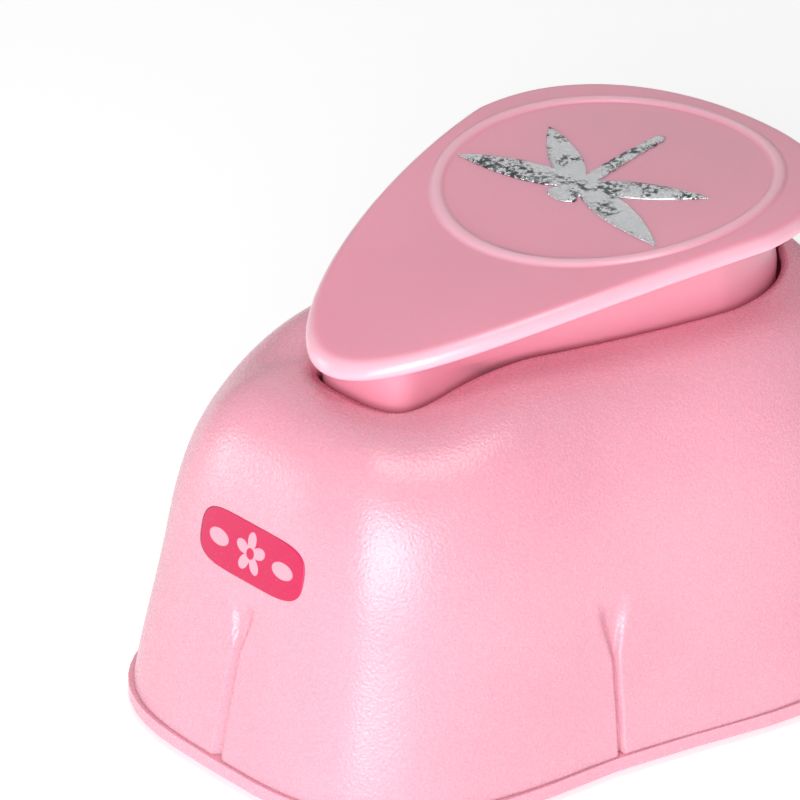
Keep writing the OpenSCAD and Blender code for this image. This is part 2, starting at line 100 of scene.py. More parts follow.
# %% [markdown]
# ## Turning grids of points into meshes
# A grid of points is the natural form of a surface with two parameters: rows run along one of them and columns round
# the other. The helper below joins neighbouring points with quads, closes the columns into a ring, and either closes
# the rows too, as on a shell with an inside and an outside, or gathers each end into a pole. A loop over faces would
# be slow, so the faces are an array as well, and foreach_set hands the arrays to Blender in one go. The signed
# volume tells whether the faces look outwards, and if it is negative they are all turned.

# %% Mesh helpers


def ring_faces(rows, cols, loop):
    """Quads between each row and the next, the columns closed; the last row meets the first when loop is true."""
    i = np.arange(rows if loop else rows - 1)[:, None]
    j = np.arange(cols)[None, :]
    after_i, after_j = (i + 1) % rows, (j + 1) % cols
    quads = [i * cols + j, i * cols + after_j, after_i * cols + after_j, after_i * cols + j]
    return np.stack(quads, -1).reshape(-1, 4)


def pole_faces(row, cols, pole, first):
    """Triangles from one row's points to a single pole point."""
    j = np.arange(cols)
    here, after = row * cols + j, row * cols + (j + 1) % cols
    order = [np.full(cols, pole), after, here] if first else [np.full(cols, pole), here, after]
    return np.stack(order, -1)


def signed_volume(points, faces):
    """Sum of the tetrahedra from the origin to each face, over six; positive when faces look outwards."""
    a, b, c = (points[faces[:, k]] for k in range(3))
    total = np.einsum("ij,ij->i", a, np.cross(b, c)).sum()
    if faces.shape[1] == 4:
        d = points[faces[:, 3]]
        total += np.einsum("ij,ij->i", a, np.cross(c, d)).sum()
    return total / 6


def closed_surface(grid, loop=False):
    """Points and faces of one closed surface from a rows x columns grid, faces outwards."""
    rows, cols = grid.shape[:2]
    points = grid.reshape(-1, 3)
    faces = [ring_faces(rows, cols, loop)]
    if not loop:
        ends = np.stack([grid[0].mean(0), grid[-1].mean(0)])
        points = np.vstack([points, ends])
        faces.append(pole_faces(0, cols, rows * cols, True))
        faces.append(pole_faces(rows - 1, cols, rows * cols + 1, False))
    if sum(signed_volume(points, part) for part in faces) < 0:
        faces = [part[:, ::-1] for part in faces]
    return points, faces


def make_piece(name, parts):
    """One mesh object from a list of (points, faces) parts in millimetres."""
    points = np.vstack([part[0] for part in parts]) * MM
    starts = np.cumsum([0] + [len(part[0]) for part in parts[:-1]])
    blocks = [block + start for (_, faces), start in zip(parts, starts) for block in faces]
    loops = np.concatenate([block.ravel() for block in blocks])
    sizes = np.concatenate([np.full(len(block), block.shape[1]) for block in blocks])
    mesh = bpy.data.meshes.new(name)
    mesh.vertices.add(len(points))
    mesh.vertices.foreach_set("co", points.ravel().astype(np.float32))
    mesh.loops.add(len(loops))
    mesh.loops.foreach_set("vertex_index", loops.astype(np.int32))
    mesh.polygons.add(len(sizes))
    mesh.polygons.foreach_set("loop_start", (np.cumsum(sizes) - sizes).astype(np.int32))
    mesh.polygons.foreach_set("use_smooth", np.full(len(sizes), True))
    mesh.update(calc_edges=True)
    mesh.validate()
    piece = bpy.data.objects.new(name, mesh)
    bpy.context.scene.collection.objects.link(piece)
    print(f"{name}: {len(points)} points, {len(sizes)} faces, {points.min(0) / MM} to {points.max(0) / MM}")
    return piece


def ease(t):
    """3t^2 - 2t^3, held at 0 below 0 and at 1 above 1."""
    t = np.clip(t, 0, 1)
    return t * t * (3 - 2 * t)


def signed_power(v, exponent):
    """|v| raised to the exponent, with v's sign."""
    return np.sign(v) * np.abs(v) ** exponent


# %% [markdown]
# ## The outlines
# Seen from above, the lever plate is an egg with a pointed rear, and the skirt under it is a smaller egg with a blunt
# neck where the hinge sits. One formula covers both: the half width is w times (1 - t^p)^(1/q), where t runs from 0
# at the widest place to 1 at the end, and p and q are small behind the widest place and larger in front of it.

# %% Egg, neck and opening
WIDEST_Y = -16.1
OPEN_REAR_Y = 20.4
OPEN_FRONT_Y = -31.3
OPEN_REAR_LENGTH = 31.5
SKIRT_HALF_WIDTH = 14.2
NECK_HALF_WIDTH = 6.5
NECK_LENGTH = 4.5
SKIRT_GAP = 0.45
SKIRT_EGG = (1.2, 1.9)
PLATE_EGG = (1.108, 2.023)
FRONT_EXPONENT = 2.2


def egg_width(y, w, rear, front, shape=SKIRT_EGG):
    """w (1 - (y/rear)^p)^(1/q) behind the widest place, w (1 - (-y/front)^n)^(1/n) in front; shape is (p, q)."""
    p, q = shape
    behind = np.clip(1 - (np.clip(y, 0, None) / rear) ** p, 0, 1) ** (1 / q)
    ahead = np.clip(1 - (np.clip(-y, 0, None) / front) ** FRONT_EXPONENT, 0, 1) ** (1 / FRONT_EXPONENT)
    return w * np.where(y > 0, behind, ahead)


def open_width(y, inset=0.0):
    """Half width of the opening at y: (egg^6 + neck^6)^(1/6), a soft maximum of the egg and the blunt neck."""
    egg = egg_width(y - WIDEST_Y, SKIRT_HALF_WIDTH - inset, OPEN_REAR_LENGTH - inset,
                    WIDEST_Y - OPEN_FRONT_Y - inset)
    share = np.clip((OPEN_REAR_Y - inset - y) / NECK_LENGTH, 0, 1)
    neck = (NECK_HALF_WIDTH - inset) * np.clip(1 - (1 - share) ** 4, 0, 1) ** (1 / 2.6)
    inside = (y <= OPEN_REAR_Y - inset + 1e-9) & (y >= OPEN_FRONT_Y + inset - 1e-9)
    return np.where(inside, (egg ** 6 + neck ** 6) ** (1 / 6), 0.0)


def open_station(a, inset=0.0):
    """y of the opening at angle a round it: 0 at the rear, half a turn at the front."""
    middle, half = (OPEN_REAR_Y + OPEN_FRONT_Y) / 2, (OPEN_REAR_Y - OPEN_FRONT_Y) / 2
    return middle + (half - inset) * signed_power(np.cos(a), 0.9)


def open_point(a, inset=0.0):
    """Plan point of the opening at angle a, -X first."""
    y = open_station(a, inset)
    side = np.where(np.abs(np.sin(a)) < 1e-6, 0.0, -np.sign(np.sin(a)))
    return side * open_width(y, inset), y


# %% [markdown]
# ## The shell
# The shell is one moulding about two millimetres thick. It could be sculpted or built from a subdivided cage, but a
# formula keeps it exactly where the designed shell is. Each profile starts at the opening in the top, follows a
# superellipse arc over the shoulder, leans outwards down to the foot, turns round the lower edge and comes back up
# inside. Angle a goes round the body, and psi goes from 0 at the opening to a quarter turn at the floor.
# Low on the body three V-shaped valleys part the wall into lobes. They have sharp sides, so the columns are crowded
# together where a valley is and spread out elsewhere.

# %% Shell formula
CROWN_EXPONENT = 4.7
REAR_ROLL, SIDE_ROLL = 3.5, 2.4
REAR_LEAN, SIDE_LEAN = 0.33, 0.12
MOUTH_HALF_WIDTH = 21.0
MOUTH_TOP = box_mm("guide_plate")[1][2] + 1.0
MOUTH_BLEND = 3.0
RISE_FROM_Y, RISE_LENGTH = 17.0, 13.0
SPREAD_FROM_Y, SPREAD_LENGTH = 12.0, 30.0
VALLEY_FADE = 3.0


def landing_height(y):
    """Height of the landing round the lever, which rises a little from the rear to the middle."""
    return LANDING_HEIGHT + LANDING_RISE * ease((RISE_FROM_Y - y) / RISE_LENGTH)


def base_point(a, grow=0.0):
    """Superellipse of exponent 3.3 whose half width eases from the rear's to the front's."""
    y = (HALF_LENGTH + grow) * signed_power(np.cos(a), 2 / BASE_EXPONENT)
    spread = ease((SPREAD_FROM_Y - y) / SPREAD_LENGTH)
    w = REAR_HALF_WIDTH + (FRONT_HALF_WIDTH - REAR_HALF_WIDTH) * spread + grow
    return -w * signed_power(np.sin(a), 2 / BASE_EXPONENT), y


def valley(x, y, z):
    """exp(-(gap/half)^4) across, where half narrows downwards to the valley's point, eased in below its top."""
    rear_gap = np.where(y > 0, np.abs(x), 100.0)
    gap = np.minimum(rear_gap, np.abs(y - WAIST_Y))
    half = np.maximum(0.3, VALLEY_HALF_WIDTH * (z - VALLEY_LOW) / (LOBE_TOP - VALLEY_LOW))
    return np.exp(-np.clip(gap / half, 0, 6) ** 4) * ease((LOBE_TOP - z) / VALLEY_FADE)


def skin(a, psi, inset=0.0):
    """The shell's surface: z = h cos(psi)^(2/n), while the plan point goes from the opening to the base outline by
    (1 - lean) sin(psi)^(2/roll) + lean (1 - z/h); inset gives the inner one."""
    top_x, top_y = open_point(a)
    foot_x, foot_y = base_point(a, -inset)
    side = np.abs(np.sin(a)) ** 1.5
    roll = REAR_ROLL + (SIDE_ROLL - REAR_ROLL) * side
    lean = REAR_LEAN + (SIDE_LEAN - REAR_LEAN) * side
    drop = 1 - np.clip(np.cos(psi), 0, 1) ** (2 / CROWN_EXPONENT)
    reach = (1 - lean) * np.sin(psi) ** (2 / roll) + lean * drop
    x = top_x + (foot_x - top_x) * reach
    y = top_y + (foot_y - top_y) * reach
    z = (landing_height(top_y) - inset) * (1 - drop)
    out = LOBE_FLARE * ease((LOBE_TOP - z) / LOBE_TOP) - VALLEY_DEPTH * valley(x, y, z)
    grow = 1 + out / np.maximum(1, np.hypot(x, y))
    return np.stack([x * grow, y * grow, z], -1)


def rim_height(a):
    """Lowest height of the wall: the foot, or the top of the mouth at the front."""
    x, y = base_point(a)
    mouth = ease((MOUTH_HALF_WIDTH - np.abs(x)) / MOUTH_BLEND)
    return np.where(y > 0, SHELL_FOOT, SHELL_FOOT + (MOUTH_TOP - SHELL_FOOT) * mouth)


def rim_psi(a, inset):
    """psi at which the skin reaches the rim."""
    height = landing_height(open_station(a)) - inset
    return np.arccos((rim_height(a) / height) ** (CROWN_EXPONENT / 2))


# %% Shell columns and profile
LIP_RADIUS = 0.5
CROWD_WIDTH, CROWD_STRENGTH = 0.07, 3.5
ROW_CROWDING = 1.8


def crowded(count, centres):
    """count angles round a turn, crowded near the centres: equal steps of the integral of 1 + bumps."""
    fine = np.linspace(0, 2 * np.pi, 20001)
    gap = np.abs((fine[:, None] - np.array(centres)[None] + np.pi) % (2 * np.pi) - np.pi)
    density = 1 + CROWD_STRENGTH * np.exp(-(gap / CROWD_WIDTH) ** 2).sum(1)
    total = np.concatenate([[0], np.cumsum((density[1:] + density[:-1]) / 2)])
    return np.interp(np.arange(count) / count * total[-1], total, fine)


def waist_angle():
    """Angle a at which the base outline passes the waist."""
    return np.arccos((WAIST_Y / HALF_LENGTH) ** (BASE_EXPONENT / 2))


def shell_grid(columns=560, outer=104, inner=30):
    """Closed profiles round the body: lip, outer skin, lower edge, inner skin."""
    waist = waist_angle()
    a = crowded(columns, [0.0, waist, 2 * np.pi - waist])[None, :]
    u = np.linspace(0, 1, outer)[:, None]
    psi = rim_psi(a, 0) * (1 - (1 - u) ** ROW_CROWDING)
    out = skin(a, psi)
    edge = np.hypot(out[..., 0] - out[:1, :, 0], out[..., 1] - out[:1, :, 1])
    inside_lip = np.clip(LIP_RADIUS - edge, 0, None)
    out[..., 2] -= LIP_RADIUS - np.sqrt(LIP_RADIUS ** 2 - inside_lip ** 2)
    v = np.linspace(1, 0, inner)[:, None]
    back = skin(a, rim_psi(a, SHELL_WALL) * (1 - (1 - v) ** ROW_CROWDING), SHELL_WALL)
    return np.concatenate([out, back])


body_shell = make_piece("shell_moulding", [closed_surface(shell_grid(), loop=True)])

# %% [markdown]
# ## The lever plate
# The plate is bent along its length like a slice of a wide tube, and it lies tilted on the skirt. It is worked out
# flat, with the middle of its raised ring as the origin, then bent, then tilted into place. Rays go from the ring's
# middle to the outline, the edge is rounded with a quarter ellipse, and the ring is a bump whose height depends only
# on the distance from the middle.

# %% Plate frame and outline
PLATE_TILT = np.radians(5.1)
BEND_RADIUS = 140.0
PLATE_THICKNESS = 1.6
PLATE_HALF_WIDTH = (cap_high[0] - cap_low[0]) / 2
PLATE_REAR_LENGTH = 38.6
PLATE_FRONT_LENGTH = 18.7
WIDEST_BEHIND = 1.67
REAR_SPACING = 5 / 3
RING_RADIUS = 16.7
RING_HALF_WIDTH = 0.75
RING_HEIGHT = 0.35
RING_Y = -13.26
RING_Z = LANDING_HEIGHT + 12.37


def on_plate(points):
    """Points of the flat plate's frame, bent to z = sqrt((R + z)^2 - y^2) - R, tilted about X and moved."""
    c, s = np.cos(PLATE_TILT), np.sin(PLATE_TILT)
    x, y, z = points[..., 0], points[..., 1], points[..., 2]
    z = np.sqrt((BEND_RADIUS + z) ** 2 - y ** 2) - BEND_RADIUS
    return np.stack([x, y * c + z * s + RING_Y, -y * s + z * c + RING_Z], -1)


def plate_outline(a):
    """Outline point at angle a: y = L cos(a)^k, where k crowds the points at the ends, and the egg's half width."""
    c = np.cos(a)
    y = np.where(c > 0, PLATE_REAR_LENGTH * np.abs(c) ** REAR_SPACING,
                 -PLATE_FRONT_LENGTH * np.abs(c) ** (2 / FRONT_EXPONENT))
    side = np.where(np.abs(np.sin(a)) < 1e-6, 0.0, -np.sign(np.sin(a)))
    x = side * egg_width(y, PLATE_HALF_WIDTH, PLATE_REAR_LENGTH, PLATE_FRONT_LENGTH, PLATE_EGG)
    return np.stack([x, y - WIDEST_BEHIND], -1)


def even_outline(outline, count, fine=6000):
    """count points spaced evenly along a closed outline function of an angle."""
    dense = outline(np.linspace(0, 2 * np.pi, fine))
    step = np.hypot(*np.diff(dense, axis=0).T)
    length = np.concatenate([[0], np.cumsum(step)])
    s = np.arange(count) / count * length[-1]
    return np.stack([np.interp(s, length, dense[:, k]) for k in (0, 1)], -1)


def outline_normals(points):
    """Outward unit normals of a closed plan outline, from its neighbours."""
    along = np.roll(points, -1, 0) - np.roll(points, 1, 0)
    along /= np.linalg.norm(along, axis=1, keepdims=True)
    normal = np.stack([along[:, 1], -along[:, 0]], -1)
    outward = np.sign((normal * (points - points.mean(0))).sum())
    return normal * outward


def ring_bump(points):
    """Ridge h (1 - t^2)^0.8, where t is the distance from the ring's circle over its half width."""
    off = (np.hypot(points[..., 0], points[..., 1]) - RING_RADIUS) / RING_HALF_WIDTH
    return RING_HEIGHT * np.clip(1 - off ** 2, 0, 1) ** 0.8


# %% Plate surface
EDGE_RADIUS = 1.35
EDGE_DROP = 1.3
LOWER_RADIUS = 0.25


def cap_grid(columns=420, radial=150, fillet=16, below=24):
    """Rows from the middle of the top, over the rounded edge, to the middle of the underside."""
    rim = even_outline(plate_outline, columns)
    normal = outline_normals(rim)
    inner = rim - EDGE_RADIUS * normal
    share = np.linspace(0.004, 1, radial)[:, None, None]
    top = share * inner[None]
    top = np.concatenate([top, ring_bump(top)[..., None]], -1)
    t = np.linspace(0, np.pi / 2, fillet + 1)[1:, None, None]
    bend = inner[None] + EDGE_RADIUS * np.sin(t) * normal[None]
    edge = np.concatenate([bend, (-EDGE_DROP * (1 - np.cos(t))) * np.ones(bend.shape[:2] + (1,))], -1)
    edge[..., 2] += ring_bump(bend) * np.cos(t[..., 0])
    t = np.linspace(0, np.pi / 2, 5)[:, None, None]
    turn = rim[None] - LOWER_RADIUS * (1 - np.cos(t)) * normal[None]
    depth = -PLATE_THICKNESS + LOWER_RADIUS * (1 - np.sin(t))
    lower = np.concatenate([turn, depth * np.ones(turn.shape[:2] + (1,))], -1)
    share = np.linspace(0.97, 0.01, below)[:, None, None]
    under = np.concatenate([share * lower[-1:, :, :2], np.full((below, columns, 1), -PLATE_THICKNESS)], -1)
    return on_plate(np.concatenate([top, edge, lower, under]))


lever_cap = make_piece("lever_plate", [closed_surface(cap_grid())])

# %% [markdown]
# ## The skirt under the plate
# The skirt is a separate moulding. Its rear part goes straight up from the opening to the plate. Its front part is
# swept about the hinge, so that it passes through the opening with the same narrow gap however far the lever is
# pressed. Inside, a boss turns on the hinge pin. The post for the pad that pushes the cutter down is left out here,
# because the shell hides it.

# %% Skirt surface
SKIRT_WALL = 2.0
FOLLOW_FROM_Y = 2.0
MIDLINE = (-26.0, 16.0)
LIP_HEIGHT = LANDING_HEIGHT + LANDING_RISE - HINGE[2]


def plate_underside(y):
    """Height of the plate's underside over y: a circle about the bend's axis."""
    axis_y, axis_z = RING_Y - BEND_RADIUS * np.sin(PLATE_TILT), RING_Z - BEND_RADIUS * np.cos(PLATE_TILT)
    return axis_z + np.sqrt((BEND_RADIUS - PLATE_THICKNESS) ** 2 - (y - axis_y) ** 2)


def skirt_width(y, z, inset):
    """Half width of the skirt at y and z: the straight outline or the swept one, whichever is narrower."""
    radius = np.hypot(HINGE[1] - y, z - HINGE[2])
    y_lip = HINGE[1] - np.sqrt(np.clip(radius ** 2 - LIP_HEIGHT ** 2, 0, None))
    swept = np.where(y < HINGE[1] - 1, open_width(np.clip(y_lip, OPEN_FRONT_Y + inset, None), inset), 99.0)
    return np.minimum(open_width(y, inset), swept)


def skirt_rows(inset, drop, count, a):
    """Rows of the skirt's wall from its lower edge up to drop below the plate's underside."""
    x0, y0 = open_point(a, inset)
    radius = np.hypot(HINGE[1] - y0, LIP_HEIGHT)
    share = np.linspace(0, 1, count)[:, None]
    follow = ease((FOLLOW_FROM_Y - y0) / (FOLLOW_FROM_Y - WIDEST_Y))

    def station(z):
        back = HINGE[1] - np.sqrt(np.clip(radius ** 2 - (z - HINGE[2]) ** 2, 0, None))
        return y0 + follow * (back - y0)

    top = plate_underside(y0) - drop
    for _ in range(6):
        top = plate_underside(station(top)) - drop
    z = HINGE[2] + (top - HINGE[2])[None] * share
    y = station(z)
    x = np.sign(x0) * np.where(np.abs(x0) < 1e-9, 0.0, skirt_width(y, z, inset))
    return np.stack([x, y, z], -1)


def drawn_in(row, drop):
    """A row moved six tenths of the way to the midline, at drop below the plate's underside."""
    y = 0.4 * row[:, 1] + 0.6 * np.clip(row[:, 1], *MIDLINE)
    return np.stack([0.4 * row[:, 0], y, plate_underside(y) - drop], -1)[None]


def skirt_grid(columns=360):
    """Rows: inner ceiling, down the inner wall, round the lower edge, up the outer wall, top."""
    fine = np.linspace(0, 2 * np.pi, 20001)
    dense = np.stack(open_point(fine, SKIRT_GAP), -1)
    length = np.concatenate([[0], np.cumsum(np.hypot(*np.diff(dense, axis=0).T))])
    angle = np.interp(np.arange(columns) / columns * length[-1], length, fine)
    outer = skirt_rows(SKIRT_GAP, 0.0, 26, angle)
    inner = skirt_rows(SKIRT_GAP + SKIRT_WALL, SKIRT_WALL, 14, angle)[::-1]
    return np.concatenate([drawn_in(inner[0], SKIRT_WALL), inner, outer, drawn_in(outer[-1], 0.0)])


def turned(profile, count, centre, axis):
    """Grid of points from a profile of (radius, height) rows turned about the z or x axis through centre."""
    t = np.linspace(0, 2 * np.pi, count, endpoint=False)[None, :]
    r, h = profile[:, :1], profile[:, 1:]
    spun = np.stack([r * np.cos(t), r * np.sin(t), h + 0 * t], -1)
    if axis == "x":
        spun = spun[..., [2, 0, 1]]
    return spun + np.asarray(centre)


BOSS_BORE, BOSS_RADIUS = 2.05, 4.0
BOSS_HALF = NECK_HALF_WIDTH - SKIRT_GAP
boss_profile = np.array([[BOSS_BORE, -BOSS_HALF], [BOSS_RADIUS, -BOSS_HALF],
                         [BOSS_RADIUS, BOSS_HALF], [BOSS_BORE, BOSS_HALF]])
boss = closed_surface(turned(boss_profile, 64, HINGE, "x"), loop=True)
lever_arm = make_piece("lever_skirt", [closed_surface(skirt_grid()), boss])

# %% [markdown]
# ## The foil dragonfly
# The sample motif is a piece of hot-stamped chrome foil, thin and slightly pillowed, with a crinkle pressed into it.
# Each wing is a leaf whose section is a flat lens, and the tail, thorax and head are drawn the same way. The parts
# run into each other at the thorax as they do on the real stamping.

# %% Dragonfly surfaces
foil_low, foil_high = box_mm("motif_emblem")
FOIL_THICKNESS = 0.25
FOIL_PLACE = np.array([0.3, 3.3, 0.0])
REAR_WING = {"length": 12.5, "width": 2.9, "angle": 12}
FRONT_WING = {"length": 11.2, "width": 2.8, "angle": -28}
REAR_REACH = REAR_WING["length"] * np.cos(np.radians(REAR_WING["angle"]))
FOIL_SCALE = (foil_high[0] - foil_low[0]) / (2 * REAR_REACH)
TAIL_LENGTH, TAIL_SWING, TAIL_JOINTS = 10.6, 1.3, 8


def pillow(path, half_width, columns=28, height=FOIL_THICKNESS):
    """Closed lens carried along a plan path: half_width at each station, flat below, domed above."""
    along = np.gradient(path, axis=0)
    along /= np.linalg.norm(along, axis=1, keepdims=True)
    across = np.stack([-along[:, 1], along[:, 0]], -1)
    t = np.linspace(0, 2 * np.pi, columns, endpoint=False)
    side = np.cos(t)
    lift = np.clip(np.sin(t), 0, 1) ** 0.55
    plan = path[:, None] + half_width[:, None, None] * side[None, :, None] * across[:, None]
    crown = height * lift[None] * np.clip(half_width / 0.5, 0, 1)[:, None]
    return np.concatenate([plan, crown[..., None]], -1)


def leaf(side, length, width, angle):
    """A wing from the thorax: half width w/2 sin(pi t^0.75)^0.8, its midline bent away from the other pair."""
    t = (1 - np.cos(np.linspace(0.06, np.pi - 0.02, 60))) / 2
    bend = 0.05 * length * t ** 2
    x, y = length * t, np.where(angle > 0, bend, -bend) * 0.6
    c, s = np.cos(np.radians(angle)), np.sin(np.radians(angle))
    path = np.stack([side * (x * c - y * s), x * s + y * c], -1)
    half = width / 2 * np.sin(np.pi * t ** 0.75) ** 0.8
    return pillow(path, np.maximum(half, 0.03))


def oval(cx, cy, rx, ry):
    """A flat domed oval, its long way along x."""
    t = (1 - np.cos(np.linspace(0.12, np.pi - 0.12, 30))) / 2
    path = np.stack([cx + rx * (2 * t - 1), np.full(t.shape, cy)], -1)
    return pillow(path, ry * np.sqrt(np.clip(1 - (2 * t - 1) ** 2, 0, 1)))


def tail():
    """The abdomen: a slender path that swings to one side, pinched at each of its joints."""
    t = np.linspace(0, 1, 110)
    path = np.stack([TAIL_SWING * t, -0.4 - TAIL_LENGTH * t], -1)
    half = (0.86 - 0.3 * t) * (1 - 0.16 * np.abs(np.cos(np.pi * TAIL_JOINTS * t)) ** 6)
    return pillow(path, half * np.sqrt(np.clip((1.01 - t) * 12, 0, 1)))


def foil_parts():
    """Two pairs of wings, tail, thorax and head, scaled to the node's width and laid on the bent plate."""
    wings = [leaf(side, **wing) for wing in (REAR_WING, FRONT_WING) for side in (-1, 1)]
    middle = [tail(), oval(0, 0.3, 1.9, 1.45), oval(0, 2.1, 1.65, 0.85)]
    placed = []
    for part in wings + middle:
        scaled = part * np.array([FOIL_SCALE, FOIL_SCALE, 1.0]) + FOIL_PLACE
        placed.append(closed_surface(on_plate(scaled)))
    return placed


foil = make_piece("foil_dragonfly", foil_parts())

# %% [markdown]
# ## The printed mark
# A small badge is pad-printed on the rear wall. Ink follows the wall exactly, so the badge is a patch of the wall's
# own surface lifted by a few hundredths of a millimetre. Its outline is a rounded bar, and the flower in it is left
# to the ink's shader, which shows the pink plastic through the unprinted places.

# %% Badge surface
badge_low, badge_high = box_mm("maker_mark")
BADGE_HALF_WIDTH = (badge_high[0] - badge_low[0]) / 2
BADGE_Z = (badge_high[2] + badge_low[2]) / 2
BADGE_HALF_HEIGHT = (badge_high[2] - badge_low[2]) / 2
INK_LIFT = 0.05


def rear_wall(x, z):
    """y of the shell's outer skin on the rear, at x and z, by stepping the angle until x fits."""
    psi = np.arccos((z / LANDING_HEIGHT) ** (CROWN_EXPONENT / 2))
    a = np.arcsin(np.clip(np.abs(x) / REAR_HALF_WIDTH, 0, 1) ** (BASE_EXPONENT / 2))
    for _ in range(12):
        point = skin(a, psi)
        ratio = np.abs(x) / np.maximum(np.abs(point[..., 0]), 1e-6)
        a = np.where(np.abs(x) < 1e-6, 0.0, np.clip(a * ratio ** 1.2, 0, 1.2))
        top = landing_height(open_station(a))
        psi = np.arccos(np.clip(z / top, 0, 1) ** (CROWN_EXPONENT / 2))
    return skin(a, psi)[..., 1]


def badge_grid(columns=160, rows=24):
    """Rounded bar of rings from its middle to its edge, laid on the rear wall, and a back sunk in the wall."""
    t = np.linspace(0, 2 * np.pi, columns, endpoint=False)
    x = BADGE_HALF_WIDTH * signed_power(np.cos(t), 2 / 5)
    z = BADGE_HALF_HEIGHT * signed_power(np.sin(t), 2 / 3)
    share = np.linspace(0.01, 1, rows)[:, None]
    px, pz = share * x[None], BADGE_Z + share * z[None]
    front = np.stack([px, rear_wall(px, pz) + INK_LIFT, pz], -1)
    back = front[::-1] - np.array([0, 2 * INK_LIFT, 0])
    return np.concatenate([front, back])


badge = make_piece("printed_badge", [closed_surface(badge_grid())])

# %% [markdown]
# ## Springs and feet
# The two return springs are coils round the guide posts. On the punch they shorten when the lever is pressed, but
# here each is left at its rest length. The rubber feet are little turned discs with rounded edges.

# %% Return springs
WIRE_RADIUS = 0.45
SPRING_TURNS = 6.0


def spring_piece(name, node):
    """A round wire along a helix between the node's ends, its turns a little closer together at both ends."""
    low, high = box_mm(node)
    centre = (low + high) / 2
    radius = (high[0] - low[0]) / 2 - WIRE_RADIUS
    t = np.linspace(0, 1, 300)
    angle = 2 * np.pi * SPRING_TURNS * t
    rise = ease(t) * 0.25 + t * 0.75
    z = low[2] + WIRE_RADIUS + (high[2] - low[2] - 2 * WIRE_RADIUS) * rise
    b = np.linspace(0, 2 * np.pi, 16, endpoint=False)[None, :]
    r = radius + WIRE_RADIUS * np.cos(b)
    grid = np.stack([centre[0] + r * np.cos(angle)[:, None], centre[1] + r * np.sin(angle)[:, None],
                     z[:, None] + WIRE_RADIUS * np.sin(b)], -1)
    return make_piece(name, [closed_surface(grid)])


springs = {side: spring_piece(f"coil_spring_{side}", f"return_spring_{side}") for side in ("left", "right")}

# %% Foot pads
pad_low, pad_high = box_mm("foot_pads")
PAD_RADIUS, PAD_ROUNDING = 3.5, 0.4
PAD_SPOTS = [(x * spread, y) for x in (-1, 1) for spread, y in ((22, -18), (17, 25))]


def pad_profile():
    """Half section of a pad from its floor face to its top: a rounded lower edge and a straight side."""
    t = np.linspace(0, np.pi / 2, 8)
    floor = np.array([[0.05, 0.0], [1.2, 0.0], [2.4, 0.0]])
    corner = np.stack([PAD_RADIUS - PAD_ROUNDING * (1 - np.sin(t)), PAD_ROUNDING * (1 - np.cos(t))], -1)
    top = np.array([[PAD_RADIUS, pad_high[2]], [0.05, pad_high[2]]])
    return np.vstack([floor, corner, top])


feet = make_piece("rubber_feet", [
    closed_surface(turned(pad_profile(), 48, (x, y, 0), "z")) for x, y in PAD_SPOTS])

# %% [markdown]
# ## Shader arithmetic
# A finish is easier to read as a sum than as a net of nodes. The class below wraps an output socket, so that adding
# or multiplying two of them, or taking the larger one, adds the Math node that does it. One method makes any other
# node from its type, its settings and the values or links of its inputs.

# %% Socket wrapper


class Wire:
    """An output socket that understands arithmetic."""

    def __init__(self, tree, socket):
        self.tree, self.socket = tree, socket

    def math(self, operation, *others, swap=False):
        """A Math node on this value and the others, in reverse order when swap is true."""
        node = self.tree.nodes.new("ShaderNodeMath")
        node.operation = operation
        values = [self, *others]
        if swap:
            values.reverse()
        for k, value in enumerate(values):
            plug(self.tree, node.inputs[k], value)
        return Wire(self.tree, node.outputs[0])

    def __add__(self, other):
        return self.math("ADD", other)

    def __sub__(self, other):
        return self.math("SUBTRACT", other)

    def __mul__(self, other):
        return self.math("MULTIPLY", other)

    def __pow__(self, other):
        return self.math("POWER", other)

    def __rsub__(self, other):
        return self.math("SUBTRACT", other, swap=True)

    __radd__, __rmul__ = __add__, __mul__

    def abs(self):
        return self.math("ABSOLUTE")

    def most(self, other):
        return self.math("MAXIMUM", other)

    def step(self, low, high):
        """0 below low, 1 above high, and a smooth rise between them."""
        node = self.tree.nodes.new("ShaderNodeMapRange")
        node.interpolation_type = "SMOOTHSTEP"
        plug(self.tree, node.inputs["Value"], self)
        node.inputs["From Min"].default_value = low
        node.inputs["From Max"].default_value = high
        return Wire(self.tree, node.outputs["Result"])


def plug(tree, socket, value):
    """Links a Wire to an input socket, or sets the socket's own value."""
    if isinstance(value, Wire):
        tree.links.new(value.socket, socket)
    else:
        socket.default_value = value


